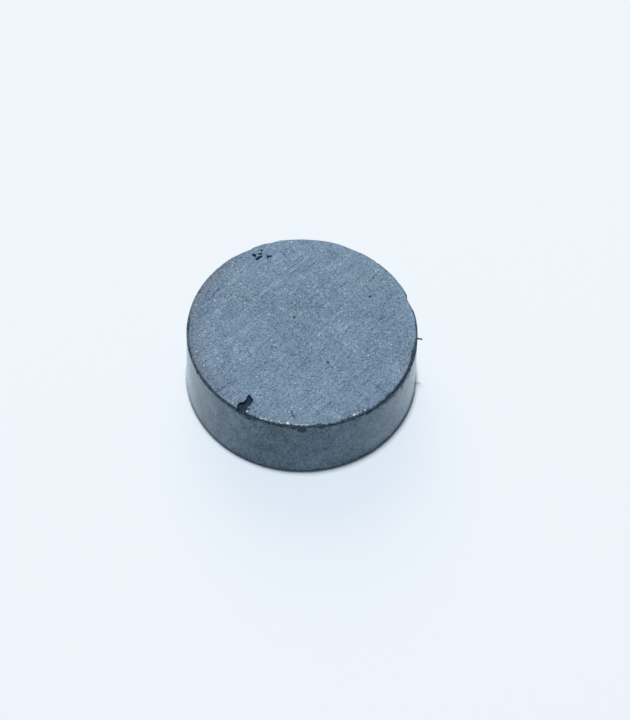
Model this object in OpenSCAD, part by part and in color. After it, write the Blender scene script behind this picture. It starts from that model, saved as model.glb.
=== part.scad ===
// Disc magnet of sintered ferrite: one ceramic disc, pressed and fired in one piece, with both
// faces ground flat. Its brittle upper rim has spalled and flaked, with one leaf-shaped gouge
// and one notch, and the ground face has a few open pits. Lengths are in millimetres. Turns are
// in degrees, counter-clockwise from +X as seen from above. The disc stands on its lower face
// at z = 0.

/* [Disc] */
// Diameter of the pressed round wall
disc_d = 20; // [14:0.5:40]
// Thickness between the two ground faces, a little under the pressed 7 mm
disc_t = 6.85; // [4:0.05:15]
// Broken edge round the upper face, measured in along the face
upper_edge = 0.2; // [0.1:0.05:0.4]
// The same broken edge, measured down the wall
upper_drop = 0.15; // [0.1:0.05:0.4]
// Broken edge round the lower face, along the face and up the wall
lower_edge = 0.15; // [0.1:0.05:0.4]

/* [Rim gouge] */
// Where the gouge opens through the rim
gouge_turn = 240.4; // [0:0.1:359.9]
// How far the gouge runs in from the wall to its tip
gouge_reach = 1.95; // [1.2:0.05:3]
// Width of the gouge along the rim, across both shoulders
gouge_w = 0.95; // [0.6:0.05:1.6]
// Depth of the gouge below the face at its tip
gouge_tip_depth = 0.28; // [0.2:0.01:0.4]
// Depth of the gouge below the face where it meets the wall
gouge_rim_depth = 0.4; // [0.35:0.01:0.8]

/* [Rim notch] */
// Where the notch breaks the rim
notch_turn = 21; // [0:0.1:359.9]
// Width of the notch along the rim
notch_w = 1.6; // [0.8:0.1:3]
// How far the notch runs in from the wall
notch_reach = 0.25; // [0.2:0.01:0.5]
// How far the notch runs down the wall
notch_drop = 0.8; // [0.5:0.05:1.2]

/* [Rim damage] */
// Deepest bite of the deep flakes that lifted off the rim
flake_depth = 0.1; // [0.05:0.01:0.2]
// Deepest bite of the thin flakes that run down the wall
thin_flake_depth = 0.1; // [0.03:0.01:0.15]
// How many flat spalls broke off round the upper rim
spall_count = 26; // [0:1:60]
// Deepest bite of those spalls into the broken edge
spall_depth = 0.03; // [0.01:0.01:0.06]
// How many small crumbs are missing round the upper rim
crumb_count = 40; // [0:1:80]
// Widest of those crumbs
crumb_w = 0.45; // [0.2:0.05:0.9]

/* [Pits] */
// Depth of the open pits in the upper face and the wall
pit_depth = 0.1; // [0.05:0.01:0.3]

/* [Hidden] */

disc_r = disc_d / 2;
gouge_right = 0.22 * gouge_w;
gouge_left = gouge_right - gouge_w;
ball_facets = 22;
wall_facets = 240;

// Deep flakes of the upper rim: turn, half width, share of the full flake depth, drop below
// the upper face, and lean of the fracture (0 faces outwards, 90 faces upwards)
FLAKES = [
    [106.5, 0.60, 0.6, 0.12, 20],
    [119.4, 0.50, 1.3, 0.15, 15],
    [124.5, 0.55, 0.6, 0.12, 20],
    [227.0, 0.34, 0.5, 0.14, 35],
    [258.5, 0.34, 0.4, 0.06, 60],
    [266.5, 0.26, 0.5, 0.06, 60],
    [279.5, 0.40, 0.5, 0.10, 55],
    [296.5, 0.34, 0.6, 0.06, 65],
    [304.0, 0.28, 0.5, 0.06, 60],
    [320.0, 0.36, 0.5, 0.10, 45],
    [328.5, 0.32, 0.7, 0.26, 20],
    [347.0, 0.44, 0.6, 0.10, 50]
];

// Thin flakes that run down the wall: turn, half width, drop below the upper face, and share
// of the full flake depth
THIN_FLAKES = [
    [207.0, 0.28, 0.34, 1],
    [243.4, 0.50, 0.62, 1.6],
    [247.0, 0.72, 0.40, 2.1],
    [254.5, 0.30, 0.28, 1],
    [260.5, 0.38, 0.34, 1],
    [267.5, 0.40, 0.46, 1],
    [271.3, 0.44, 0.86, 1],
    [281.0, 0.45, 0.54, 1],
    [285.5, 0.62, 0.44, 1],
    [291.0, 0.36, 0.28, 1],
    [296.0, 0.50, 0.34, 1],
    [302.5, 0.42, 0.24, 1],
    [306.3, 0.24, 0.56, 1],
    [314.5, 0.44, 0.33, 1],
    [318.5, 0.36, 0.40, 1],
    [322.3, 0.36, 0.50, 1],
    [328.0, 0.42, 0.60, 1],
    [332.5, 0.44, 0.46, 1],
    [337.5, 0.42, 0.52, 1],
    [342.5, 0.40, 0.52, 1],
    [349.0, 0.50, 0.62, 1]
];

// Open pits of the upper face: turn, share of the radius out from the middle, half width
PITS = [
    [34.0, 0.700, 0.10],
    [110.3, 0.845, 0.10],
    [111.7, 0.848, 0.12],
    [113.5, 0.930, 0.08],
    [114.6, 0.902, 0.07],
    [115.4, 0.166, 0.08],
    [118.5, 0.912, 0.16],
    [205.8, 0.262, 0.05],
    [213.6, 0.305, 0.06],
    [305.8, 0.393, 0.08]
];

// Radius of the ball that leaves a hollow this wide and this deep in a flat surface
function ball_r(half_w, depth) = (half_w * half_w + depth * depth) / (2 * depth);

// Puts its children on the disc, inset from the wall and drop below the upper face,
// with their +X facing outwards and tilted up by lean
module on_disc(turn, inset, drop, lean) {
    rotate([0, 0, turn])
        translate([disc_r - inset, 0, disc_t - drop])
            rotate([0, -lean, 0])
                children();
}

// A shallow shell-shaped hollow
module scoop(turn, inset, drop, half_w, depth, lean) {
    r = ball_r(half_w, depth);
    on_disc(turn, inset, drop, lean)
        translate([r - depth, 0, 0])
            sphere(r = r, $fn = ball_facets);
}

// A short groove with round ends in the upper face, along direction
module groove(turn, out, direction, length, width, depth) {
    r = ball_r(width / 2, depth);
    rotate([0, 0, turn])
        translate([out, 0, disc_t + r - depth])
            rotate([0, 0, direction - turn])
                union() {
                    translate([-length / 2, 0, 0])
                        rotate([0, 90, 0])
                            cylinder(h = length, r = r, $fn = ball_facets);
                    for (end = [-1, 1])
                        translate([end * length / 2, 0, 0])
                            sphere(r = r, $fn = ball_facets);
                }
}

// The pressed disc with its two ground faces and broken edges
module pressed_disc() {
    rotate_extrude($fn = wall_facets)
        polygon([
            [0, 0],
            [disc_r - lower_edge, 0],
            [disc_r, lower_edge],
            [disc_r, disc_t - upper_drop],
            [disc_r - upper_edge, disc_t],
            [0, disc_t]
        ]);
}

// Outline of the gouge seen from above, with the rim at x = 0 and the disc's middle
// towards -x: a leaf with its tip inwards and a square shoulder on its left side
module gouge_outline() {
    past_rim = 0.4;
    tip = gouge_left / 2 - 0.08;
    polygon([
        [past_rim, gouge_left + 0.26],
        [past_rim, gouge_right + 0.05],
        [-0.10 * gouge_reach, gouge_right + 0.03],
        [-0.33 * gouge_reach, gouge_right - 0.08],
        [-0.53 * gouge_reach, gouge_right - 0.02],
        [-0.71 * gouge_reach, gouge_right - 0.02],
        [-0.85 * gouge_reach, gouge_right - 0.1],
        [-gouge_reach, tip],
        [-0.85 * gouge_reach, tip],
        [-0.68 * gouge_reach, tip + 0.03],
        [-0.49 * gouge_reach, tip - 0.04],
        [-0.43 * gouge_reach, gouge_left + 0.04],
        [-0.36 * gouge_reach, gouge_left],
        [-0.22 * gouge_reach, gouge_left + 0.02],
        [-0.10 * gouge_reach, gouge_left + 0.16]
    ]);
}

// Everything above a floor that falls towards the rim and towards the right wall
module above_floor(depth, fall_out, fall_right) {
    side = 4 * gouge_reach;
    translate([0, gouge_right, -depth])
        rotate([-fall_right, fall_out, 0])
            translate([-side / 2, -side / 2, 0])
                cube(side);
}

// The block of ceramic that broke away: the leaf, down to a floor of two cleaved planes
module gouge_block() {
    above = 1;
    fall_out = atan((gouge_rim_depth - gouge_tip_depth) / gouge_reach);
    on_disc(gouge_turn, 0, 0, 0)
        intersection() {
            translate([0, 0, -2 * gouge_rim_depth])
                linear_extrude(height = 2 * gouge_rim_depth + above)
                    gouge_outline();
            above_floor(gouge_rim_depth, fall_out, 5);
            above_floor(gouge_rim_depth + 0.15, fall_out + 3, 12);
        }
}

// Outline of the notch seen from above, as gouge_outline: a steep side to the left of its
// deepest stretch and a longer one to the right
module notch_outline() {
    past_rim = 0.4;
    polygon([
        [past_rim, 0.47 * notch_w],
        [-0.28 * notch_reach, 0.46 * notch_w],
        [-0.80 * notch_reach, 0.28 * notch_w],
        [-notch_reach, 0.17 * notch_w],
        [-notch_reach, 0.02 * notch_w],
        [-0.88 * notch_reach, -0.08 * notch_w],
        [-0.50 * notch_reach, -0.34 * notch_w],
        [-0.22 * notch_reach, -0.60 * notch_w],
        [past_rim, -0.68 * notch_w]
    ]);
}

// The sliver of ceramic that the notch lost, down to one steep cleaved plane
module notch_block() {
    above = 1;
    floor_share = 0.85;
    fall_out = atan(floor_share * notch_drop / notch_reach);
    side = 4 * notch_w;
    on_disc(notch_turn, 0, 0, 0)
        intersection() {
            translate([0, 0, -2 * notch_drop])
                linear_extrude(height = 2 * notch_drop + above)
                    notch_outline();
            translate([0, 0, -notch_drop])
                rotate([0, fall_out, 0])
                    translate([-side / 2, -side / 2, 0])
                        cube(side);
        }
}

// A nick and a chip along the right lip of the gouge
module gouge_lip() {
    groove(gouge_turn + 1.7, disc_r - 0.67, 0, 0.16, 0.13, 0.06);
    scoop(gouge_turn + 2.0, 0.20, 0, 0.12, 0.05, 65);
}

// Deep flakes that lifted off the rim, each one a shallow shell
module rim_flakes() {
    for (f = FLAKES)
        scoop(f[0], max(0, upper_edge * (1 - f[3] / upper_drop)), f[3], f[1],
            f[2] * flake_depth, f[4]);
}

// Radius of the round border of a thin flake: an arc hung from the upper face where the
// flake is wider than it is deep, and a round-ended tongue where it is narrower
function border_r(half_w, drop) =
    half_w > drop ? (half_w * half_w + drop * drop) / (2 * drop) : half_w;

// Thin flakes that run down the wall from the upper rim
module thin_flakes() {
    for (f = THIN_FLAKES)
        scoop(f[0], 0, f[2] - border_r(f[1], f[2]), border_r(f[1], f[2]),
            f[3] * thin_flake_depth, 0);
}

// Flat spalls all round the upper rim: each is a plane that shaves the broken edge
module rim_spalls() {
    seed = 21;
    place = rands(-0.45, 0.45, spall_count + 1, seed);
    bite = rands(0.1, 1, spall_count + 1, seed + 1);
    lean = rands(30, 60, spall_count + 1, seed + 2);
    side = 4;
    for (i = [0 : 1 : spall_count - 1])
        on_disc((i + place[i]) * 360 / spall_count, upper_edge / 2, upper_drop / 2, lean[i])
            translate([-bite[i] * spall_depth, -side / 2, -side / 2])
                cube(side);
}

// Crumbs lost all round the upper rim, uneven in place, width and lean
module rim_crumbs() {
    seed = 7;
    shallow = 0.12;
    place = rands(-0.45, 0.45, crumb_count + 1, seed);
    wide = rands(0.3, 1, crumb_count + 1, seed + 1);
    lean = rands(20, 70, crumb_count + 1, seed + 2);
    for (i = [0 : 1 : crumb_count - 1])
        scoop((i + place[i]) * 360 / crumb_count, upper_edge / 2, upper_drop / 2,
            wide[i] * crumb_w / 2, wide[i] * crumb_w * shallow, lean[i]);
}

// An open pit in the upper face, made of a hollow and two smaller ones that run into it
module pit(turn, share, half_w) {
    scoop(turn, disc_r * (1 - share), 0, half_w, pit_depth, 90);
    for (side = [-1, 1])
        rotate([0, 0, turn])
            translate([disc_r * share, 0, 0])
                rotate([0, 0, 7 * turn + side * 65])
                    translate([half_w * 0.8 - disc_r, 0, 0])
                        scoop(0, 0, 0, half_w * 0.6, pit_depth * 0.7, 90);
}

// Open pits and three short grooves in the ground upper face, and one pit in the wall
module open_pits() {
    for (p = PITS)
        pit(p[0], p[1], p[2]);
    groove(117.0, 0.870 * disc_r, 39, 0.47, 0.17, pit_depth);
    groove(115.5, 0.902 * disc_r, 4, 0.24, 0.12, pit_depth);
    groove(266.4, 0.878 * disc_r, 111, 0.9, 0.09, pit_depth / 3);
    scoop(283.4, 0, 0.52 * disc_t, 0.09, 0.6 * pit_depth, 0);
}

module ferrite_disc() {
    color([0.45, 0.54, 0.62])
        difference() {
            pressed_disc();
            gouge_block();
            gouge_lip();
            notch_block();
            rim_flakes();
            thin_flakes();
            rim_spalls();
            rim_crumbs();
            open_pits();
        }
}

ferrite_disc();
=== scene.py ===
# %% [markdown]
# # A chipped ferrite disc magnet
#
# The object is one disc of sintered ferrite, 20 mm across and a little under 7 mm thick: slate
# grey, dull, hard and brittle. Both faces are ground flat, the wall is left as the press made
# it, and the upper rim has crumbled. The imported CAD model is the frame, which holds the size of
# the disc and its chips. This lesson gives it a finer skin, its finishes, and soft light.

# %% Load the frame
import math

import bpy
import numpy as np
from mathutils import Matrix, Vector, noise
from mathutils.bvhtree import BVHTree


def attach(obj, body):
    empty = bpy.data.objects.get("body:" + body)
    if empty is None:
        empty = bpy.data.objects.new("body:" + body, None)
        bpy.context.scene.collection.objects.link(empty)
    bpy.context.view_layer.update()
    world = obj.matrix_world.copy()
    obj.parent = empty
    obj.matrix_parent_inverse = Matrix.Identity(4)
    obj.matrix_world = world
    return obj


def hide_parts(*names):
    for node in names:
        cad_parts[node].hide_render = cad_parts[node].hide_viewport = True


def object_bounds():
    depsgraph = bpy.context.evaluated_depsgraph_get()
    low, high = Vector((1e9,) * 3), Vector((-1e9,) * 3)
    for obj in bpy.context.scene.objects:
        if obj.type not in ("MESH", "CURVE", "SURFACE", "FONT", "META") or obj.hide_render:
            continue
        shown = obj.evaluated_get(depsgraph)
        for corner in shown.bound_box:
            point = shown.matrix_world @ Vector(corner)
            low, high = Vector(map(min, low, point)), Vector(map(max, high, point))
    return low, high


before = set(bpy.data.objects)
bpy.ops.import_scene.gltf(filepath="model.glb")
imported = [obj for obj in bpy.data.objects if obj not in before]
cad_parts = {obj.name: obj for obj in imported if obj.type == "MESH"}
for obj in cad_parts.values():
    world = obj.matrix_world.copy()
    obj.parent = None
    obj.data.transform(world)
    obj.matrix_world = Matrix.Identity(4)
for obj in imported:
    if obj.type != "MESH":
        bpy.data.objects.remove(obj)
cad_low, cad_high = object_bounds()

MM = 0.001
disc_r = cad_high.x / MM
disc_t = cad_high.z / MM
print(f"disc {2 * disc_r:.2f} mm across, {disc_t:.2f} mm thick")

# %% [markdown]
# ## Camera first
#
# A small object seen with little perspective was looked at from far away through a long lens.
# A wide lens up close would widen the near rim. So the camera stands half a metre off, and a
# long lens fills the frame. The camera looks down at 55 degrees and is rolled a little, because
# nobody holds one dead level.

# %% Camera
LOOK_DOWN = math.radians(55.1)
ROLL = math.radians(1.56)
CAMERA_AWAY = 0.5
LENS = 286
AIM_RIGHT = 1.185 * MM
AIM_UP = 1.485 * MM

camera_data = bpy.data.cameras.new("camera")
camera_data.lens = LENS
camera_data.clip_start = 0.01
camera_data.clip_end = 5
camera = bpy.data.objects.new("camera", camera_data)
bpy.context.collection.objects.link(camera)
bpy.context.scene.camera = camera

back = Vector((0, -math.cos(LOOK_DOWN), math.sin(LOOK_DOWN)))
upward = Vector((0, math.sin(LOOK_DOWN), math.cos(LOOK_DOWN)))
aim = Vector((AIM_RIGHT, 0, 0)) + upward * AIM_UP
camera.location = aim + back * CAMERA_AWAY
camera.rotation_euler = (math.pi / 2 - LOOK_DOWN, 0, 0)
camera.rotation_euler.rotate_axis("Z", ROLL)
print(f"camera {CAMERA_AWAY * 1000:.0f} mm from the disc, with a {LENS} mm lens")

# %% [markdown]
# ## The unbroken disc
#
# Every chip is measured against the disc as it left the grinder. That shape is a profile spun
# round Z: flat face, broken edge, wall, broken edge, flat face. Its sizes are read from the CAD
# model, so that the skin follows when they change. All lengths from here on are millimetres.

# %% Profile of the unbroken disc
TOUCHING = 0.001
cad_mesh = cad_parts["ferrite_disc"].data
cad_points = np.array([v.co for v in cad_mesh.vertices]) / MM
cad_out = np.hypot(cad_points[:, 0], cad_points[:, 1])
cad_z = cad_points[:, 2]
on_wall = cad_out > disc_r - TOUCHING
upper_drop = disc_t - cad_z[on_wall].max()
upper_edge = disc_r - cad_out[cad_z > disc_t - TOUCHING].max()
lower_edge = cad_z[on_wall].min()
PROFILE = np.array([
    (0, disc_t),
    (disc_r - upper_edge, disc_t),
    (disc_r, disc_t - upper_drop),
    (disc_r, lower_edge),
    (disc_r - lower_edge, 0),
    (0, 0),
])
print(f"upper edge {upper_edge:.2f} in and {upper_drop:.2f} down, lower edge {lower_edge:.2f} mm")

# %% [markdown]
# ## Back onto the disc, and out of it
#
# A function that moves any point to the nearest place on the profile lets a coarse net be
# refined later without losing the round wall. A second one says which way is out. It turns
# smoothly from the face to the wall, where the true normal would jump and leave gaps in the net.

# %% Nearest place on the unbroken disc
TURN_OVER = 0.5


def distance_to_line(points, start, end):
    """Nearest points on a straight piece of the profile, and how far they are."""
    along = end - start
    share = np.clip((points - start) @ along / (along @ along), 0, 1)
    nearest = start + share[:, None] * along
    return nearest, np.linalg.norm(points - nearest, axis=1)


def onto_unbroken(points):
    """Moves points to the nearest place on the unbroken disc."""
    out = np.hypot(points[:, 0], points[:, 1])
    flat = np.stack([out, points[:, 2]], axis=1)
    found = [distance_to_line(flat, a, b) for a, b in zip(PROFILE, PROFILE[1:])]
    best = np.argmin([d for _, d in found], axis=0)
    place = np.stack([p for p, _ in found])[best, np.arange(len(points))]
    turn = np.arctan2(points[:, 1], points[:, 0])
    return np.stack([place[:, 0] * np.cos(turn), place[:, 0] * np.sin(turn), place[:, 1]], axis=1)


def outward(points):
    """The way out of the disc: up on the face, sideways on the wall, turning smoothly between."""
    out = np.hypot(points[:, 0], points[:, 1])
    core_out = np.minimum(out, disc_r - TURN_OVER)
    core_z = np.clip(points[:, 2], TURN_OVER, disc_t - TURN_OVER)
    side = (out - core_out) / np.maximum(out, 1e-9)
    away = np.stack([points[:, 0] * side, points[:, 1] * side, points[:, 2] - core_z], axis=1)
    return away / np.linalg.norm(away, axis=1)[:, None]


# %% [markdown]
# ## A coarse net
#
# The net starts as rings of points. Six more points on each ring keep its triangles nearly
# equal, where a plain fan would leave long thin slivers at the middle that shade badly.

# %% Rings, and the triangles between them
def ring(out, z, count):
    """One ring of points, or the single point at the middle of a face."""
    turns = 2 * math.pi * np.arange(count) / count
    return np.stack([out * np.cos(turns), out * np.sin(turns), np.full(count, z)], axis=1)


def face_ring(k, edge, z):
    """The ring that is number k from the middle of a face with this broken edge."""
    return ring(k * (disc_r - edge) / face_rings, z, max(1, 6 * k))


def stitch(a, b):
    """Triangles between two rings of point numbers, always taking the nearer next point."""
    triangles = []
    i = j = 0
    while i < len(a) - (len(a) == 1) or j < len(b) - (len(b) == 1):
        ahead_a = (i + 1) / len(a) if len(a) > 1 and i < len(a) else 2
        ahead_b = (j + 1) / len(b) if len(b) > 1 and j < len(b) else 2
        if ahead_b <= ahead_a:
            triangles.append((a[i % len(a)], b[j % len(b)], b[(j + 1) % len(b)]))
            j += 1
        else:
            triangles.append((a[i % len(a)], b[j % len(b)], a[(i + 1) % len(a)]))
            i += 1
    return triangles


# %% Coarse net of rings
STEP = 0.98
face_rings = round((disc_r - upper_edge) / STEP)
wall_rings = round(disc_t / STEP)
upper = [face_ring(k, upper_edge, disc_t) for k in range(face_rings + 1)]
around = [ring(disc_r, z, 6 * face_rings)
          for z in np.linspace(disc_t - upper_drop, lower_edge, wall_rings)]
lower = [face_ring(k, lower_edge, 0) for k in reversed(range(face_rings + 1))]
rings = upper + around + lower
points = np.concatenate(rings)
ends = np.cumsum([0] + [len(r) for r in rings])
numbers = [list(range(a, b)) for a, b in zip(ends, ends[1:])]
triangles = np.array([t for a, b in zip(numbers, numbers[1:]) for t in stitch(a, b)])
print(f"coarse net: {len(points)} points, {len(triangles)} triangles")

# %% [markdown]
# ## Where the ceramic is broken
#
# The flat faces need no fine net. The crumbled rim, the gouge and the pits do. The CAD mesh
# tells them apart: wherever its surface has left the unbroken disc, or lies on a broken edge,
# ceramic is missing. Those spots go in a search tree, and the net is made finer near them.

# %% Find the broken places
OFF_THE_DISC = 0.004
RIM_BAND = 0.5
WALL_LIKE, FACE_LIKE = 0.2, 0.98  # how far up a slanting edge looks, between these two

centres = np.array([p.center for p in cad_mesh.polygons]) / MM
centre_out = np.hypot(centres[:, 0], centres[:, 1])
looks_up = np.abs(np.array([p.normal for p in cad_mesh.polygons])[:, 2])
left_disc = np.linalg.norm(onto_unbroken(centres) - centres, axis=1) > OFF_THE_DISC
on_edge = (looks_up > WALL_LIKE) & (looks_up < FACE_LIKE) & (centre_out > disc_r - RIM_BAND)

cad_vectors = [Vector(p) for p in cad_points]
cad_faces = [p.vertices[:] for p in cad_mesh.polygons]
broken_faces = [face for face, broken in zip(cad_faces, left_disc | on_edge) if broken]
broken_tree = BVHTree.FromPolygons(cad_vectors, broken_faces)
cad_tree = BVHTree.FromPolygons(cad_vectors, cad_faces)
print(f"{len(broken_faces)} of {len(cad_faces)} CAD faces are broken ceramic")

# %% [markdown]
# ## Painted glints
#
# Where the ground face meets the chips, a few crystals lie at the angle that throws the light
# back. Their glints are painted into the colour as near-white spots: a painted highlight. Each
# could be a tiny chip of its own, but a spot painted on the skin can't hang in the air. Their
# places come first, so that the net is made fine enough there to paint them.

# %% Places of the painted glints
GLINTS = [  # turn, distance from the axis, half width, brightness
    (241.5, 9.18, 0.05, 0.55),
    (241.9, 9.65, 0.065, 0.9),
    (250.8, 9.58, 0.04, 0.35),
    (252.4, 9.58, 0.05, 0.5),
    (255.6, 9.58, 0.05, 0.5),
    (259.6, 9.60, 0.06, 0.7),
    (261.9, 9.66, 0.04, 0.4),
    (264.0, 9.66, 0.085, 1.0),
    (267.0, 9.74, 0.045, 0.5),
    (274.2, 9.74, 0.04, 0.3),
    (291.5, 9.76, 0.04, 0.35),
    (297.4, 9.74, 0.04, 0.5),
    (298.6, 9.74, 0.075, 1.0),
    (304.9, 9.80, 0.07, 0.8),
]
glint_turns, glint_outs, glint_sizes, glint_powers = np.array(GLINTS).T
glint_places = np.stack([
    glint_outs * np.cos(np.radians(glint_turns)),
    glint_outs * np.sin(np.radians(glint_turns)),
    np.full(len(GLINTS), disc_t),
], axis=1)
print(f"{len(GLINTS)} bright crystals")

# %% [markdown]
# ## Refine the net
#
# A long side is halved at its middle, and each triangle is filled again by how many of its
# sides were halved. Blender's own Subdivide would do this evenly, and an even net fine enough
# for the rim would need millions of triangles. Here the wanted side length grows with the
# distance to the nearest broken place.

# %% How long a side may be
FINEST, COARSEST, GROWTH = 0.055, 0.9, 0.32
GLINT_SIDE, GLINT_REACH = 0.02, 0.08


def wanted_length(middles):
    """How long a side may be at each place."""
    far = COARSEST / GROWTH
    wanted = np.full(len(middles), COARSEST)
    for k, place in enumerate(middles):
        gap = broken_tree.find_nearest(Vector(place), far)[3]
        if gap is not None:
            wanted[k] = FINEST + GROWTH * gap
    to_glint = np.linalg.norm(middles[:, None] - glint_places, axis=2).min(axis=1)
    wanted = np.minimum(wanted, GLINT_SIDE + GROWTH * np.maximum(to_glint - GLINT_REACH, 0))
    return np.minimum(wanted, COARSEST)


# %% Sides, and how a triangle is filled again
def sides_of(triangles):
    """The three sides of each triangle, each with its lower point number first."""
    return np.sort(triangles[:, [[0, 1], [1, 2], [2, 0]]].reshape(-1, 2), axis=1)


def refill(corners, middles, halved):
    """New triangles for those that have 1, 2 or 3 halved sides, which come first."""
    a, b, c = corners.T
    ab, bc, ca = middles.T
    pieces = {
        1: [(a, ab, c), (ab, b, c)],
        2: [(ab, b, bc), (a, ab, bc), (a, bc, c)],
        3: [(a, ab, ca), (ab, b, bc), (ca, bc, c), (ab, bc, ca)],
    }[halved]
    return [np.stack(p, axis=1) for p in pieces]


# %% Halve the long sides
SHORTEST = 0.02
TOO_LONG = 1.35


def split_long_sides(points, triangles):
    """Halves the sides that are too long, and says how many there were."""
    sides, which = np.unique(sides_of(triangles), axis=0, return_inverse=True)
    middles = points[sides].mean(axis=1)
    length = np.linalg.norm(points[sides[:, 0]] - points[sides[:, 1]], axis=1)
    can_halve = length > SHORTEST
    long = np.zeros(len(sides), bool)
    long[can_halve] = length[can_halve] > TOO_LONG * wanted_length(middles[can_halve])
    number = np.full(len(sides), -1)
    number[long] = len(points) + np.arange(long.sum())
    middle = number[which.reshape(-1, 3)]
    count = (middle >= 0).sum(axis=1)
    filled = [triangles[count == 0]]
    for halved in (1, 2, 3):
        t, m = triangles[count == halved], middle[count == halved]
        if halved < 3:  # turn each triangle so that its halved sides come first
            odd = (m >= 0) if halved == 1 else (m < 0)
            first = (odd.argmax(axis=1) + (halved == 2)) % 3
            order = (np.arange(3) + first[:, None]) % 3
            t, m = np.take_along_axis(t, order, 1), np.take_along_axis(m, order, 1)
        filled += refill(t, m, halved)
    points = np.concatenate([points, onto_unbroken(middles[long])])
    return points, np.concatenate(filled), long.sum()


halved = 1
while halved:
    points, triangles, halved = split_long_sides(points, triangles)
    print(f"halved {halved} sides: {len(triangles)} triangles")

# %% [markdown]
# ## Sink the net into the chips
#
# Each point of the fine net drops straight in until it meets the CAD model, as a wrap shrinks
# onto a box. A boolean cut would do the same with worse triangles. How far a point drops says
# how much ceramic is missing there, and is kept for the colour. A drop smaller than the CAD
# mesh's own flat facets doesn't count.

# %% Sink onto the CAD model
FACETING = 0.008
START_ABOVE = 0.02
FARTHEST_DROP = 2.0


def sink(places):
    """Where each place lands on the CAD model, and how far it sank."""
    landed = places.copy()
    for k, (p, n) in enumerate(zip(places, outward(places))):
        hit = cad_tree.ray_cast(Vector(p + START_ABOVE * n), Vector(-n), FARTHEST_DROP)[0]
        if hit is not None:
            landed[k] = hit
    missing = np.linalg.norm(landed - places, axis=1)
    missing[missing < FACETING] = 0
    landed[missing == 0] = places[missing == 0]
    return landed, missing


start = points.copy()
landed, missing = sink(start)
print(f"{(missing > 0).sum()} points sank, the deepest {missing.max():.2f} mm")

# %% [markdown]
# ## Snap the net to steep lips
#
# The gouge and the notch have steep sides, and a net that steps down wherever its points happen
# to lie gives them a saw edge. So each side of the net that crosses a lip is searched for the
# place where the surface drops, and its nearer end slides there. A slide that would turn a
# triangle over is taken back.

# %% Find where the lips cross the net
LIP = 0.08
SEARCH_STEPS = 7

sides = np.unique(sides_of(triangles), axis=0)
drop = missing[sides[:, 1]] - missing[sides[:, 0]]
sides[drop < 0] = sides[drop < 0][:, ::-1]  # the first end is now the shallow one
length = np.linalg.norm(start[sides[:, 0]] - start[sides[:, 1]], axis=1)
crossing = sides[(np.abs(drop) > LIP) & (np.abs(drop) > length)]
shallow, sunk = start[crossing[:, 0]], start[crossing[:, 1]]
halfway = (missing[crossing[:, 0]] + missing[crossing[:, 1]]) / 2
near, far = np.zeros(len(crossing)), np.ones(len(crossing))
for _ in range(SEARCH_STEPS):
    share = (near + far) / 2
    middle = onto_unbroken(shallow + share[:, None] * (sunk - shallow))
    below = sink(middle)[1] > halfway
    far[below] = share[below]
    near[~below] = share[~below]
print(f"{len(crossing)} sides cross a lip")

# %% Slide points to the lips
LEAST_AREA_LEFT = 0.1


def facing(places):
    """Twice each triangle's area, negative where it has turned over."""
    a, b, c = places[triangles[:, 0]], places[triangles[:, 1]], places[triangles[:, 2]]
    return (np.cross(b - a, c - a) * outward((a + b + c) / 3)).sum(axis=1)


slid = start.copy()
shortest = np.full(len(start), 0.5)  # shortest slide so far, as a share of the side
for k, (a, b) in enumerate(crossing):
    if near[k] < 0.5:
        end, share, slide = a, near[k], near[k]
    else:
        end, share, slide = b, far[k], 1 - far[k]
    if slide < shortest[end]:
        shortest[end] = slide
        slid[end] = shallow[k] + share * (sunk[k] - shallow[k])

while True:
    spoiled = np.unique(triangles[facing(slid) < LEAST_AREA_LEFT * facing(start)])
    spoiled = spoiled[(slid[spoiled] != start[spoiled]).any(axis=1)]
    if not len(spoiled):
        break
    slid[spoiled] = start[spoiled]
moved = np.flatnonzero((slid != start).any(axis=1))
start[moved] = onto_unbroken(slid[moved])
landed[moved], missing[moved] = sink(start[moved])
print(f"{len(moved)} points slid to a lip")

# %% [markdown]
# ## Where each point lies
#
# The damage isn't even: the front of the rim is worn most. So every later step asks how far a
# point is from the two edges, and at which turn it stands, counter-clockwise from +X.

# %% Distances from the edges, and the turn
start_z = start[:, 2]
out = np.hypot(start[:, 0], start[:, 1])
from_upper = distance_to_line(np.stack([out, start_z], axis=1), PROFILE[1], PROFILE[2])[1]
from_lower = distance_to_line(np.stack([out, start_z], axis=1), PROFILE[3], PROFILE[4])[1]
face_side = start_z > disc_t - upper_drop
turn = np.degrees(np.arctan2(start[:, 1], start[:, 0])) % 360


def near_turn(middle, half):
    """1 where the rim is at this turn, falling to 0 half a width away."""
    away = np.abs((turn - middle + 180) % 360 - 180)
    return np.clip(1 - away / half, 0, 1)


def round_rim(pairs):
    """A strength for each point, from pairs of a turn and the strength there."""
    return np.interp(turn, *zip(*pairs))


print(f"{face_side.sum()} points on the face side of the rim, {(~face_side).sum()} below it")

# %% [markdown]
# ## Crumble the rim
#
# A brittle edge loses flakes and grains down to a tenth of a millimetre, finer than the CAD
# model shows. Smooth noise would melt the edge like wax. Cell noise bites it in small shells
# with sharp borders, and its depth runs out a little way in from the edge, which leaves the
# ragged line between the ground face and the dark broken band.

# %% Shells and grit
def shells(places, size, seed):
    """Shell-shaped bites: 1 in the middle of each cell, 0 and less at its borders."""
    shift = Vector((seed, 2.3 * seed, -1.7 * seed))
    found = [noise.voronoi(Vector(p) / size + shift)[0][0] for p in places]
    return 1 - 2.2 * np.array(found)


def rough(places, size, seed):
    """Uneven ground from -1 to 1, in four octaves."""
    shift = Vector((seed, -1.1 * seed, 3.1 * seed))
    return np.array([noise.fractal(Vector(p) / size + shift, 0.7, 2.1, 4) for p in places])


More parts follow.
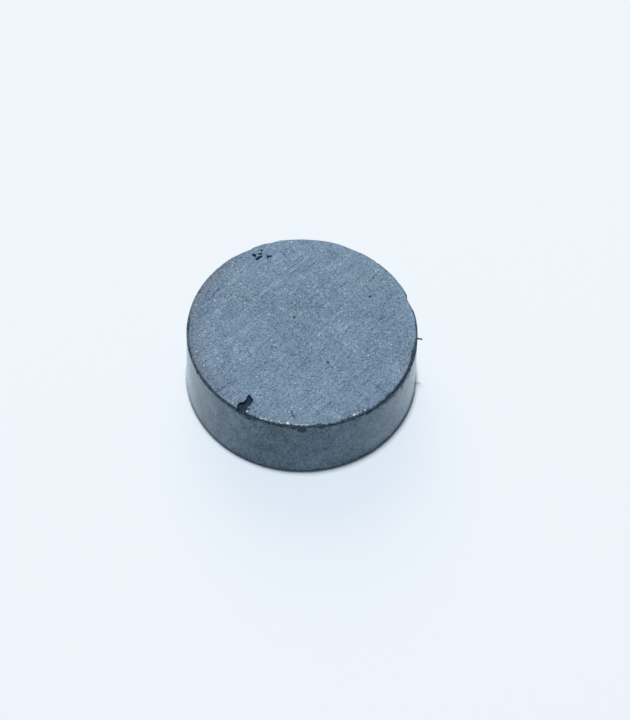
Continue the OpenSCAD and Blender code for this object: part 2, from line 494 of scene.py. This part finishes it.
WORN_BAND = 0.6
near_edge = np.minimum(from_upper, from_lower) < WORN_BAND
worn = np.flatnonzero(near_edge | (missing > 0))
big = shells(start[worn], 0.5, 3.0)
small = shells(start[worn], 0.19, 8.0)
grit = rough(start[worn], 0.16, 5.0)
print(f"{len(worn)} points can crumble")

# %% Bite the rim
LEAST_WEAR = 0.25
BIG_DEPTH, SMALL_DEPTH, GRIT_DEPTH = 0.05, 0.06, 0.02
FACE_RUNS_OUT, WALL_RUNS_OUT = 0.5, 0.3  # depth lost for each millimetre in from the edge
LOWER_RUNS_OUT = 1.6  # how much faster it runs out at the lower edge
SLUMP = 0.045  # the wall side has broken away along one stretch
DEEPEST_BITE = 0.12

wall_wear = LEAST_WEAR + 0.75 * near_turn(265, 90) + 0.5 * near_turn(300, 60)
face_wear = LEAST_WEAR + 0.6 * near_turn(258, 50)
wear = np.where(face_side, face_wear, wall_wear)[worn]
on_face = face_side[worn]
slope = np.where(on_face, FACE_RUNS_OUT, WALL_RUNS_OUT - 0.16 * near_turn(318, 50)[worn])
run_out = np.minimum(from_upper[worn], LOWER_RUNS_OUT * from_lower[worn]) * slope
ragged = BIG_DEPTH * np.maximum(big, 0) + SMALL_DEPTH * np.maximum(small, 0) + GRIT_DEPTH * grit
slump = np.where(on_face, 0.0, SLUMP * np.clip(1.6 * near_turn(325, 50)[worn], 0, 1))
rim_bite = np.maximum(wear * ragged + slump - run_out, 0)
print(f"the rim is bitten up to {rim_bite.max():.3f} mm deep")

# %% Roughen the breaks
FULLY_BROKEN = 0.05  # missing depth at which a surface is all fracture
SHELL_IN_BREAK = 0.03

in_break = np.clip(missing[worn] / FULLY_BROKEN, 0, 1)
break_bite = in_break * (GRIT_DEPTH * (1 + grit) + SHELL_IN_BREAK * np.maximum(small, 0))
bite = np.zeros(len(start))
bite[worn] = np.minimum(rim_bite + break_bite, DEEPEST_BITE)
skin = landed - outward(start) * bite[:, None]
skin[:, 2] = np.clip(skin[:, 2], 0, disc_t)
lost = missing + bite
print(f"{(bite > 0.002).sum()} points crumbled, {bite.max():.3f} mm at most")

# %% [markdown]
# ## Make the mesh
#
# The net becomes one mesh in metres, which rides on the disc's body and stands for the CAD
# disc. Its corners will carry painted values, so that one set of nodes can tell the finishes
# apart. Separate pieces for wall, face and chips would show their seams.

# %% Build the skin
disc_mesh = bpy.data.meshes.new("ferrite_skin")
disc_mesh.from_pydata((skin * MM).tolist(), [], triangles.tolist())
disc_mesh.validate()
disc = bpy.data.objects.new("ferrite_skin", disc_mesh)
bpy.context.collection.objects.link(disc)
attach(disc, "root")
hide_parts("ferrite_disc")
print(f"skin: {len(disc_mesh.polygons)} triangles")

# %% [markdown]
# ## The dark band along the rim
#
# The broken edge is a dark line between the ground face and the wall: dark fracture with painted
# shade on top, because the rough edge shadows itself and at the front mirrors the unlit room round
# the camera. At the back it is thin and faint. At the front it is strong, and at the right it
# spreads down the wall. Its borders waver, because it crumbled. A line drawn at one width would
# look printed. A thin line of painted shade also runs along the lower edge, where the disc meets
# the bench.

# %% Paint the dark band
# how dark the band is at each turn: dark fracture with painted shade, strongest at the front
DARKENING = [
    (0, 0.8), (20, 0.4), (40, 0), (165, 0), (180, 0.35), (195, 0.55),
    (210, 0.7), (232, 0.95), (330, 1.0), (345, 0.9), (360, 0.8)]
BARE = [  # share of the broken edge, from the face side, that stays as ground
    (0, 0.4), (25, 0), (270, 0), (292, 0.45), (328, 0.5),
    (340, 0), (350, -0.7), (357, 0), (360, 0.4)]
SPREAD_DOWN = [  # how far the band spreads down the wall
    (0, 0.05), (270, 0), (300, 0.16), (312, 0.34), (322, 0.7),
    (335, 0.8), (345, 0.75), (354, 0.6), (360, 0.05)]
SPREAD_IN = 0.2  # how far it spreads onto the face, at the right only
THINNEST_BAND = 0.02
SOFT_START = 0.2
WAVER, FINE_WAVER = 0.4, 0.35  # how much its inner border wavers, as a share of the edge
ENDS_IN_CHIPS = 1.6


def within(distance, width):
    """1 nearer than half this width, 0 farther than one and a half times it."""
    return np.clip(1.5 - distance / width, 0, 1)


darkening = round_rim(DARKENING)
waver = rough(start, 0.5, 11.0)
fine_waver = rough(start, 0.2, 13.0)
across = (out - disc_r + upper_edge) / upper_edge
bare = round_rim(BARE) + WAVER * near_turn(285, 90) * waver
bare = bare + FINE_WAVER * near_turn(300, 120) * fine_waver
covered = np.clip((across - bare) / SOFT_START + 0.5, 0, 1)
uneven = np.clip(0.85 + 0.7 * (waver + fine_waver), 0.3, 1.6)
spread = np.where(face_side, SPREAD_IN * near_turn(350, 10), round_rim(SPREAD_DOWN) * uneven)
on_upper = covered * within(from_upper, THINNEST_BAND + spread)
# painted shade along the lower edge, where the disc meets the bench
foot_shade = within(from_lower, THINNEST_BAND)
edge = np.maximum(on_upper * darkening, foot_shade)
edge *= np.clip(ENDS_IN_CHIPS - missing / FULLY_BROKEN, 0, 1)
print(f"{(edge > 0.5).sum()} points in the dark band")

# %% [markdown]
# ## Broken, deep and wall
#
# How much ceramic is lost says which finish a break takes. A shallow flake is a little darker
# than the wall, and a deep hole is nearly black: dark fracture with painted shade, deeper the
# more is lost. The gouge's floor catches some light, and small holes in the face are too shallow
# to be black, so depth counts less there.

# %% Paint the breaks and the wall
SHALLOWEST, FULL = 0.004, 0.008
DEEP_AT_RIM, DEEP_INSIDE, DEEP_FADE = 0.16, 0.05, 0.03
GOUGE_TURN, CLUSTER_TURN, CLUSTER_OUT = 241, 114, 8
GOUGE_DEPTH_COUNTS, PIT_DEPTH_COUNTS = 0.58, 0.2
CRUMB_DEPTH = 0.02
WALL_FADE = 0.02

broken = np.clip((lost - SHALLOWEST) / FULL, 0, 1)
only_crumbled = (from_upper < THINNEST_BAND) & (missing < CRUMB_DEPTH)
broken *= np.where(only_crumbled, covered * np.minimum(1, 1.3 * darkening), 1)

at_rim = out > disc_r - RIM_BAND
in_gouge = near_turn(GOUGE_TURN, 14) > 0
in_pit_cluster = (near_turn(CLUSTER_TURN, 14) > 0) & (out > CLUSTER_OUT)
# painted shade in holes: darker the more ceramic is lost
deep = np.clip((lost - np.where(at_rim, DEEP_AT_RIM, DEEP_INSIDE)) / DEEP_FADE, 0, 1)
deep *= np.select([in_gouge, at_rim | in_pit_cluster], [GOUGE_DEPTH_COUNTS, 1.0], PIT_DEPTH_COUNTS)
wall = np.clip((out - disc_r + WALL_FADE) / WALL_FADE, 0, 1)
print(f"{(broken > 0.5).sum()} broken points, {(deep > 0.5).sum()} deep ones")

# %% [markdown]
# ## Frayed highlights, glints and border tone
#
# Along part of the front rim the crumbled border of the ground face catches the light, painted
# as a thin broken line of highlight in light grains. Near its border the face is also a little
# darker at the left and front, and a little lighter at the back.

# %% Paint the frayed highlight, the glints and the border tone
BORDER_TONE = [
    (0, -0.2), (35, -0.9), (80, -1.3), (115, -0.7), (135, 1.5), (165, 1.9), (185, 1.6),
    (215, 1.5), (245, 1.4), (262, 0.9), (340, 0.8), (352, 0.4), (360, -0.2)]
FRAY_MIDDLE, FRAY_HALF = 0.03, 0.08  # how far from the broken edge the grains lie
ON_TOP = 0.01
BORDER_WAVER = 0.45

# painted highlight along the crumbled front rim, broken into light grains
frayed_highlight = np.clip(2 * near_turn(262, 15), 0, 0.8) + near_turn(298, 9)
frayed_highlight = frayed_highlight * np.clip(1 - np.abs(from_upper - FRAY_MIDDLE) / FRAY_HALF, 0, 1)
frayed_highlight = frayed_highlight * (start_z > disc_t - ON_TOP)

# painted highlight: near-white glint spots at the listed places
to_glint = np.linalg.norm(start[:, None] - glint_places, axis=2) / glint_sizes
glint = (np.clip(1.6 - to_glint, 0, 1) * glint_powers).max(axis=1)

# the face near its border: darker at the left and front, lighter at the back, by turn
border_tone = round_rim(BORDER_TONE)
border_width = np.where(border_tone > 0, 0.6 + 0.6 * border_tone, 1.0)
border_fade = np.clip(1.1 - (disc_r - out) / border_width, 0, 1)
border_tone *= border_fade * np.clip(1 + BORDER_WAVER * waver, 0, 2)
print(f"{(frayed_highlight > 0).sum()} frayed points, {(glint > 0).sum()} bright ones")

# %% [markdown]
# ## Put the paint on the mesh
#
# The seven values go on the corners of the triangles. A corner can differ from its neighbours
# at the same point, so the steep side of a hole can be all fracture while the ground face next
# to it stays clean. Paint on the points would smear across the lip.
#
# The skin is smooth shaded except on the breaks, where flat facets glint like the crystals of a
# fresh fracture. Those triangles also take a second material.

# %% Paint the corners
SMOOTH_BELOW, FRACTURE_ABOVE = 0.3, 0.5

corners = np.empty(len(disc_mesh.loops), int)
disc_mesh.loops.foreach_get("vertex_index", corners)
corners = corners.reshape(-1, 3)
over_lip = np.ptp(missing[corners], axis=1) > LIP
paint = {
    "broken": broken,
    "deep": deep,
    "edge": edge,
    "wall": wall,
    "frayed_highlight": frayed_highlight,
    "glint": glint,
    "border_tone": border_tone,
}
paint = {name: values[corners] for name, values in paint.items()}
paint["broken"][over_lip] = 1
paint["deep"][over_lip] = paint["deep"][over_lip].max(axis=1, keepdims=True)
paint["frayed_highlight"][over_lip] = 0
paint["glint"][over_lip] = 0
for name, values in paint.items():
    painted = disc_mesh.attributes.new(name, "FLOAT", "CORNER")
    painted.data.foreach_set("value", values.ravel().astype(np.float32))

how_broken = np.maximum(broken, edge)[corners].mean(axis=1)
how_broken[over_lip] = 1
disc_mesh.polygons.foreach_set("use_smooth", how_broken < SMOOTH_BELOW)
disc_mesh.polygons.foreach_set("material_index", (how_broken > FRACTURE_ABOVE).astype(int))
print(f"{len(paint)} values painted, {(how_broken > FRACTURE_ABOVE).sum()} fracture triangles")

# %% [markdown]
# ## A clinging sliver
#
# A magnet picks up iron dust, and one dark sliver stands out from the right side of the rim
# along the field. It is a thin four-sided bar, bent a little, with a thicker tip. A cylinder
# would look machined, so its rings are uneven.

# %% Sliver
SLIVER_ROUTE = [  # place, half thickness
    ((9.92, -0.26, 6.64), 0.10),
    ((10.06, -0.29, 6.66), 0.08),
    ((10.18, -0.32, 6.68), 0.065),
    ((10.27, -0.34, 6.69), 0.09),
    ((10.35, -0.37, 6.70), 0.10),
    ((10.42, -0.39, 6.70), 0.03),
]
TWIST = 20
LEAN = 0.3

sliver_points, sliver_faces = [], []
for k, ((x, y, z), half) in enumerate(SLIVER_ROUTE):
    for side in range(4):
        around_it = math.radians(90 * side + TWIST * k)
        sliver_points.append([
            (x - LEAN * half * math.cos(around_it)) * MM,
            (y + half * math.cos(around_it)) * MM,
            (z + half * math.sin(around_it)) * MM,
        ])
        if k:
            a, b = 4 * k + side, 4 * k + (side + 1) % 4
            sliver_faces.append((a - 4, b - 4, b, a))
sliver_faces += [(3, 2, 1, 0), tuple(4 * len(SLIVER_ROUTE) - 4 + i for i in range(4))]

sliver_mesh = bpy.data.meshes.new("clinging_sliver")
sliver_mesh.from_pydata(sliver_points, [], sliver_faces)
sliver = bpy.data.objects.new("clinging_sliver", sliver_mesh)
bpy.context.collection.objects.link(sliver)
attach(sliver, "root")
print(f"sliver: {len(sliver_faces)} faces")

# %% [markdown]
# ## Ferrite as a material
#
# Ferrite is a dark ceramic. Ground flat, it scatters light into an even blue-grey, crossed by
# faint parallel grinding lines and peppered with crystals and pores of about a tenth of a
# millimetre; the crystals carry painted sparkle. The ground face's colour is lighter than the
# wall's partly for its finish and partly as painted highlight, the sheen it shows under the lamps
# above. As pressed it is darker and closer to satin, and broken it is nearly black, with painted
# shade in the deep holes. Long chains of nodes are easier to read as sums, so a few helpers come
# first.

# %% Small helpers for nodes
ferrite = bpy.data.materials.new("sintered_ferrite")
ferrite.use_nodes = True
tree = ferrite.node_tree
shader = tree.nodes["Principled BSDF"]


def put(socket, value):
    """Links an output to a socket, or sets the socket's own value."""
    if isinstance(value, bpy.types.NodeSocket):
        tree.links.new(value, socket)
    else:
        socket.default_value = value


def calc(operation, a, b=0.0):
    """One step of arithmetic on numbers."""
    made = tree.nodes.new("ShaderNodeMath")
    made.operation = operation
    put(made.inputs[0], a)
    put(made.inputs[1], b)
    return made.outputs[0]


def add_up(start, *layers):
    """start plus each layer's strength times how far its pattern is from its middle."""
    total = start
    for pattern, middle, strength in layers:
        total = calc("ADD", total, calc("MULTIPLY", calc("SUBTRACT", pattern, middle), strength))
    return total


# %% Helpers that fade and blend
def fade(value, low, high):
    """0 at low, 1 at high, and a smooth rise between."""
    made = tree.nodes.new("ShaderNodeMapRange")
    made.interpolation_type = "SMOOTHSTEP"
    put(made.inputs["Value"], value)
    made.inputs["From Min"].default_value = low
    made.inputs["From Max"].default_value = high
    return made.outputs["Result"]


def blend_numbers(share, a, b):
    """a where share is 0, b where it is 1."""
    made = tree.nodes.new("ShaderNodeMix")
    made.data_type = "FLOAT"
    for socket, value in zip(made.inputs, (share, None, a, b)):
        if value is not None:
            put(socket, value)
    return made.outputs[0]


def blend_colours(share, a, b):
    """Colour a where share is 0, colour b where it is 1."""
    made = tree.nodes.new("ShaderNodeMix")
    made.data_type = "RGBA"
    put(made.inputs["Factor"], share)
    put(made.inputs[6], a)
    put(made.inputs[7], b)
    return made.outputs[2]


def painted_value(name):
    """A value that is painted on the mesh's corners."""
    made = tree.nodes.new("ShaderNodeAttribute")
    made.attribute_name = name
    return made.outputs["Fac"]


# %% [markdown]
# ## Patterns in millimetres
#
# The patterns are noise measured in millimetres on the disc itself, so they have the right
# grain size from any side and need no unwrapping. Stretched coordinates draw them out into
# lines.

# %% Noise, grains, dots and lines
places = tree.nodes.new("ShaderNodeTexCoord").outputs["Object"]


def in_mm(stretch=(1, 1, 1), turned=0.0):
    """Coordinates in millimetres, turned about Z, then stretched along each axis."""
    turn_it = tree.nodes.new("ShaderNodeVectorRotate")
    turn_it.rotation_type = "Z_AXIS"
    put(turn_it.inputs["Vector"], places)
    turn_it.inputs["Angle"].default_value = math.radians(-turned)
    scale_it = tree.nodes.new("ShaderNodeVectorMath")
    scale_it.operation = "MULTIPLY"
    put(scale_it.inputs[0], turn_it.outputs[0])
    scale_it.inputs[1].default_value = [s / MM for s in stretch]
    return scale_it.outputs[0]


def cloudy(coordinates, size, detail=2.0):
    """Soft noise from 0 to 1, with lumps about this many millimetres wide."""
    made = tree.nodes.new("ShaderNodeTexNoise")
    put(made.inputs["Vector"], coordinates)
    made.inputs["Scale"].default_value = 1 / size
    made.inputs["Detail"].default_value = detail
    return made.outputs["Fac"]


def grains(coordinates, size):
    """Three random numbers for each grain, and the distance from its middle in grain sizes."""
    made = tree.nodes.new("ShaderNodeTexVoronoi")
    put(made.inputs["Vector"], coordinates)
    made.inputs["Scale"].default_value = 1 / size
    parts = tree.nodes.new("ShaderNodeSeparateColor")
    put(parts.inputs[0], made.outputs["Color"])
    return parts.outputs, made.outputs["Distance"]


def dots(coordinates, size, share, width):
    """1 in a small round spot at the middle of this share of the grains, 0 elsewhere."""
    luck, away = grains(coordinates, size)
    chosen = calc("LESS_THAN", luck[0], share)
    spot = calc("SUBTRACT", 1.0, fade(away, 0.6 * width, width))
    return calc("MULTIPLY", chosen, spot)


def lines(across, along, turned, width):
    """1 on thin lines about this far apart and this long in mm, 0 between them."""
    wave = cloudy(in_mm(stretch=(1 / along, 1 / across, 1 / across), turned=turned), 1.0, 1)
    return calc("SUBTRACT", 1.0, fade(calc("ABSOLUTE", calc("SUBTRACT", wave, 0.5)), 0.0, width))


# %% [markdown]
# ## The ground faces
#
# The grinding wheel leaves lines in one direction, with a few across it. They are noise
# stretched ten to twenty times along the stroke. Crystals and pores are dots at the middle of a
# few random grains; the light crystal dots are painted sparkle, where a grain would catch the
# light. All patterns are added up around 0, so that they vary the colour a little above and
# below its mean and don't shift it.

# %% Patterns of the ground face
GRIND_TURN = 47
mm = in_mm()


def in_places(pattern, size, low, high):
    """Keeps a pattern only in patches about this many millimetres wide."""
    return calc("MULTIPLY", pattern, fade(cloudy(mm, size, 1), low, high))


grain = cloudy(mm, 0.15, 4)
patch = cloudy(mm, 1.3, 3)
wide_patch = cloudy(mm, 5.0, 2)
streaks = cloudy(in_mm(stretch=(0.8, 9, 1), turned=GRIND_TURN), 1.0, 2)
threads = lines(0.42, 0.42, 0, 0.06)
dark_lines = in_places(lines(0.5, 9, GRIND_TURN, 0.03), 2.3, 0.42, 0.62)
light_lines = in_places(lines(0.6, 9, GRIND_TURN + 3, 0.03), 2.0, 0.58, 0.38)  # where it is low
cross_lines = in_places(lines(0.9, 6, GRIND_TURN - 88, 0.03), 2.6, 0.5, 0.7)
# crystal dots: light grains with painted sparkle
crystal_sparkle = calc("MULTIPLY", dots(mm, 0.24, 0.35, 0.30), fade(patch, 0.35, 0.65))
pores = in_places(dots(mm, 0.4, 0.5, 0.22), 1.1, 0.45, 0.6)
print(f"{len(tree.nodes)} nodes so far")

# %% Tone of the ground face
ground_tone = add_up(
    0.0,
    (grain, 0.5, 2.2),
    (streaks, 0.5, 0.45),
    (threads, 0.25, -0.22),
    (dark_lines, 0.03, -0.4),
    (light_lines, 0.03, 0.35),
    (cross_lines, 0.03, -0.3),
    (patch, 0.5, 0.3),
    (wide_patch, 0.5, 0.5),
    (crystal_sparkle, 0.03, 1.7),
    (pores, 0.03, -1.0),
)

# %% [markdown]
# ## The pressed wall and the breaks
#
# The wall keeps the cloudy look of pressed powder, with no grinding lines. Its grain is drawn
# out a little upwards, the way the punch moved. A break shows loose dark grains and a few
# bright crystal faces, whose glint is painted sparkle in the colour.

# %% Tone of the wall
wall_mm = in_mm(stretch=(1, 1, 0.6))
wall_cloud = cloudy(in_mm(stretch=(1, 1, 0.7)), 0.9, 3)
wall_grain = cloudy(wall_mm, 0.2, 4)
wall_pores = dots(wall_mm, 0.42, 0.35, 0.26)
wall_tone = add_up(
    0.0,
    (wall_grain, 0.5, 3.6),
    (grain, 0.5, 2.4),
    (threads, 0.25, -0.35),
    (wall_cloud, 0.5, 2.0),
    (wide_patch, 0.5, 1.6),
    (crystal_sparkle, 0.03, 1.8),
    (wall_pores, 0.05, -1.6),
)

# %% Tone of the breaks
# painted sparkle of bright crystal faces in a break
break_sparkle = dots(mm, 0.16, 0.10, 0.4)
lumps = cloudy(mm, 0.3, 2)
break_tone = add_up(
    0.0,
    (grain, 0.5, 2.5),
    (lumps, 0.5, 3.0),
    (break_sparkle, 0.02, 2.0),
)

# %% [markdown]
# ## Colours
#
# Each finish has a mean colour and a spread. The tone times the spread is added to the mean. A
# ramp between two colours would also work, but its mean moves whenever a pattern is changed.
# The painted values then choose the finish: ground or wall, flake or deep fracture with painted
# shade, the dark edge with its painted shade, and on top the painted highlight of the frayed rim
# and the painted glints.

# %% Colours of the finishes
# GROUND is lighter than PRESSED partly for the ground finish and partly as painted highlight of
# the face's sheen under the lamps above
GROUND, GROUND_SPREAD = (0.138, 0.205, 0.288), (0.16, 0.20, 0.24)
PRESSED, PRESSED_SPREAD = (0.073, 0.120, 0.167), (0.080, 0.108, 0.138)
FLAKED, FLAKED_SPREAD = (0.050, 0.086, 0.116), (0.045, 0.060, 0.075)
# EDGE: the dark broken edge, its fracture colour carrying painted shade
EDGE, EDGE_SPREAD = (0.044, 0.065, 0.085), (0.024, 0.034, 0.044)
# FRACTURE_AND_SHADE: dark fracture with painted shade, for the deep holes
FRACTURE_AND_SHADE, FRACTURE_AND_SHADE_SPREAD = (0.013, 0.018, 0.034), (0.023, 0.031, 0.046)
# colour of the painted highlight on the frayed rim
FRAYED_HIGHLIGHT, FRAYED_HIGHLIGHT_SPREAD = (0.50, 0.56, 0.62), (0.3, 0.3, 0.3)
# GLINT: near-white colour of the painted glints
GLINT = (0.80, 0.84, 0.88, 1)
BLUER = (-0.005, -0.006, 0.030)
# shift of the face colour near its border, darker where the value is above 0
DARKER_NEAR_BORDER = (-0.019, -0.036, -0.052)
DARKEST_TONE = -0.7
WALL_TINT = 0.6


def shaded(colour, spread, tone):
    """A colour plus a spread times the tone, which is kept from going too dark."""
    made = tree.nodes.new("ShaderNodeVectorMath")
    made.operation = "MULTIPLY_ADD"
    put(made.inputs[0], calc("MAXIMUM", tone, DARKEST_TONE))
    made.inputs[1].default_value = spread
    put(made.inputs[2], colour)
    return made.outputs[0]


tint = add_up(0.0, (cloudy(mm, 0.9, 2), 0.5, 1.0), (cloudy(mm, 3.5, 1), 0.5, 1.0))
ground = shaded(shaded(GROUND, GROUND_SPREAD, ground_tone), BLUER, tint)
ground = shaded(ground, DARKER_NEAR_BORDER, painted_value("border_tone"))
pressed = shaded(PRESSED, PRESSED_SPREAD, wall_tone)
pressed = shaded(pressed, BLUER, calc("MULTIPLY", tint, WALL_TINT))
flaked = shaded(FLAKED, FLAKED_SPREAD, break_tone)
fracture_and_shade = shaded(FRACTURE_AND_SHADE, FRACTURE_AND_SHADE_SPREAD, break_tone)
dark_edge = shaded(EDGE, EDGE_SPREAD, break_tone)
frayed_highlight_colour = shaded(FRAYED_HIGHLIGHT, FRAYED_HIGHLIGHT_SPREAD, ground_tone)

# %% Choose the finish
grain_luck = grains(in_mm(), 0.13)[0]
is_wall = painted_value("wall")
is_edge = painted_value("edge")
is_broken = fade(calc("ADD", painted_value("broken"), calc("MULTIPLY", grain, 0.4)), 0.5, 0.9)
is_deep = fade(add_up(painted_value("deep"), (grain, 0.3, 1.0), (lumps, 0.5, 1.0)), 0.5, 0.9)
highlight_luck = calc("MULTIPLY", grain_luck[1], 0.9)
is_frayed_highlight = fade(calc("ADD", painted_value("frayed_highlight"), highlight_luck), 0.85, 1.15)

whole = blend_colours(is_wall, ground, pressed)
# deep holes: fracture colour with painted shade
fresh = blend_colours(is_deep, flaked, fracture_and_shade)
colour = blend_colours(is_broken, whole, fresh)
# the dark band and the lower edge: fracture colour with painted shade
colour = blend_colours(is_edge, colour, dark_edge)
# painted highlight on the frayed rim
colour = blend_colours(is_frayed_highlight, colour, frayed_highlight_colour)
# painted glints, a painted highlight, on top of all
colour = blend_colours(painted_value("glint"), colour, GLINT)
put(shader.inputs["Base Color"], colour)
print(f"{len(tree.nodes)} nodes with the colours")

# %% [markdown]
# ## Gloss and relief
#
# The press leaves the wall nearly shiny, so it mirrors the bright bench at a slant. The ground
# face and the breaks are matt. A bluish sheen lifts what is seen at a slant, as the fine powder
# of a ceramic does. The relief is only a bump of a fiftieth of a millimetre: real displacement
# that fine would need far more triangles.

# %% Gloss
GROUND_ROUGH, WALL_ROUGH, BREAK_ROUGH = 0.50, 0.12, 0.5
GRAIN_ROUGH, CLOUD_ROUGH = 0.12, 0.1

ground_gloss = add_up(GROUND_ROUGH, (grain_luck[2], 0.5, GRAIN_ROUGH))
wall_gloss = add_up(WALL_ROUGH, (grain_luck[2], 0.5, GRAIN_ROUGH), (wall_cloud, 0.5, CLOUD_ROUGH))
gloss = blend_numbers(is_wall, ground_gloss, wall_gloss)
gloss = blend_numbers(calc("MAXIMUM", is_broken, is_edge), gloss, BREAK_ROUGH)
put(shader.inputs["Roughness"], gloss)
shader.inputs["IOR"].default_value = 1.45
shader.inputs["Specular Tint"].default_value = (0.65, 0.87, 1.0, 1)
shader.inputs["Sheen Weight"].default_value = 0.38
shader.inputs["Sheen Roughness"].default_value = 0.3
shader.inputs["Sheen Tint"].default_value = (0.25, 0.68, 1.0, 1)

# %% Relief
RELIEF_HEIGHT = 0.02 * MM

relief = add_up(0.0, (grain, 0.5, 1.5), (streaks, 0.5, 0.5), (pores, 0, -1.0))
bump = tree.nodes.new("ShaderNodeBump")
bump.inputs["Strength"].default_value = 0.35
bump.inputs["Distance"].default_value = RELIEF_HEIGHT
put(bump.inputs["Height"], relief)
put(shader.inputs["Normal"], bump.outputs["Normal"])
disc_mesh.materials.append(ferrite)
print(f"{ferrite.name}: {len(tree.nodes)} nodes")

# %% [markdown]
# ## Fresh breaks
#
# Loose grains in a break trap the light, so a break stays dark even at a slant, where the rest
# of the disc mirrors the bench. A darker colour alone can't do that, because the shine lies on
# top of it. So the breaks get a copy of the material with almost no shine and no sheen.

# %% Material of the breaks
fresh_break = ferrite.copy()
fresh_break.name = "fresh_break"
break_shader = fresh_break.node_tree.nodes["Principled BSDF"]
break_shader.inputs["Specular IOR Level"].default_value = 0.05
break_shader.inputs["Sheen Weight"].default_value = 0.0
disc_mesh.materials.append(fresh_break)
print(f"{fresh_break.name}: a copy with {len(fresh_break.node_tree.nodes)} nodes")

# %% [markdown]
# ## Iron dust
#
# The sliver is iron filings packed end to end: dark, dull and a little uneven. It is too small
# to show more than two tones.

# %% Material of the sliver
iron_dust = bpy.data.materials.new("iron_dust")
iron_dust.use_nodes = True
dust = iron_dust.node_tree
dust_shader = dust.nodes["Principled BSDF"]
dust_places = dust.nodes.new("ShaderNodeTexCoord")
dust_noise = dust.nodes.new("ShaderNodeTexNoise")
dust_noise.inputs["Scale"].default_value = 12 / MM
dust_ramp = dust.nodes.new("ShaderNodeValToRGB")
dust_ramp.color_ramp.elements[0].color = (0.005, 0.008, 0.009, 1)
dust_ramp.color_ramp.elements[1].color = (0.025, 0.032, 0.034, 1)
dust.links.new(dust_places.outputs["Object"], dust_noise.inputs["Vector"])
dust.links.new(dust_noise.outputs["Fac"], dust_ramp.inputs["Fac"])
dust.links.new(dust_ramp.outputs["Color"], dust_shader.inputs["Base Color"])
dust_shader.inputs["Roughness"].default_value = 0.55
sliver_mesh.materials.append(iron_dust)
print(f"{iron_dust.name}: {len(dust.nodes)} nodes")

# %% [markdown]
# ## The bench top
#
# The disc stands on a pale bench top that runs out of sight. It is one plain sheet, matt, so
# that nothing on it draws the eye from the disc.

# %% Floor
FLOOR_HALF = 2.0
FLOOR_COLOUR = (0.82, 0.87, 0.91, 1)

floor_mesh = bpy.data.meshes.new("bench_top")
floor_corners = [
    (-FLOOR_HALF, -FLOOR_HALF, 0),
    (FLOOR_HALF, -FLOOR_HALF, 0),
    (FLOOR_HALF, FLOOR_HALF, 0),
    (-FLOOR_HALF, FLOOR_HALF, 0),
]
floor_mesh.from_pydata(floor_corners, [], [(0, 1, 2, 3)])
floor_paint = bpy.data.materials.new("bench_top")
floor_paint.use_nodes = True
floor_shader = floor_paint.node_tree.nodes["Principled BSDF"]
floor_shader.inputs["Base Color"].default_value = FLOOR_COLOUR
floor_shader.inputs["Roughness"].default_value = 0.8
floor_shader.inputs["Specular IOR Level"].default_value = 0.2
floor_mesh.materials.append(floor_paint)
floor = bpy.data.objects.new("bench_top", floor_mesh)
bpy.context.collection.objects.link(floor)
print(f"bench top {2 * FLOOR_HALF:.0f} m wide")

# %% [markdown]
# ## Light
#
# Two lamps high above the disc stand a little behind it, so that its shadow is only a thin dark
# line at the front of its foot. A wide warm window behind it shines on the ground face, which
# makes the face lighter than the wall. The white room all round fills the rest. The camera and
# the reflections see the room brighter than it shines, or the whole bench would be washed out.

# %% Lamps
COOL = (0.94, 0.967, 1.0)
WARM = (1.0, 0.69, 0.39)


def soft_lamp(name, place, size, power, colour):
    """A round lamp that faces the disc."""
    data = bpy.data.lights.new(name, "AREA")
    data.shape = "DISK"
    data.size = size
    data.energy = power
    data.color = colour
    lamp = bpy.data.objects.new(name, data)
    lamp.location = place
    lamp.rotation_euler = Vector(place).to_track_quat("Z", "Y").to_euler()
    bpy.context.collection.objects.link(lamp)
    print(f"lamp {name}: {power} W, {size * 1000:.0f} mm wide")


soft_lamp("overhead", (-0.001, 0.006, 1.0), size=0.035, power=4.4, colour=COOL)
soft_lamp("ceiling", (-0.022, 0.040, 1.0), size=0.07, power=3.9, colour=COOL)
soft_lamp("window", (-0.11, 0.61, 0.5), size=0.7, power=1.8, colour=WARM)

# %% Room
ROOM_COLOUR = (0.625, 0.8125, 1.0, 1)
ROOM_STRENGTH = 0.16
SEEN_COLOUR = (0.87, 0.92, 0.965, 1)

room = bpy.data.worlds.new("room")
bpy.context.scene.world = room
room.use_nodes = True
tree = room.node_tree  # the helpers now make the room's nodes
light = tree.nodes["Background"]
light.inputs["Color"].default_value = ROOM_COLOUR
light.inputs["Strength"].default_value = ROOM_STRENGTH
seen = tree.nodes.new("ShaderNodeBackground")
seen.inputs["Color"].default_value = SEEN_COLOUR
ray = tree.nodes.new("ShaderNodeLightPath").outputs
looks = calc("MAXIMUM", ray["Is Camera Ray"], ray["Is Glossy Ray"])
looks = calc("MAXIMUM", looks, ray["Is Transmission Ray"])
either = tree.nodes.new("ShaderNodeMixShader")
tree.links.new(looks, either.inputs[0])
tree.links.new(light.outputs[0], either.inputs[1])
tree.links.new(seen.outputs[0], either.inputs[2])
tree.links.new(either.outputs[0], tree.nodes["World Output"].inputs["Surface"])
bpy.context.scene.view_settings.view_transform = "Standard"
print(f"room: {len(tree.nodes)} nodes")
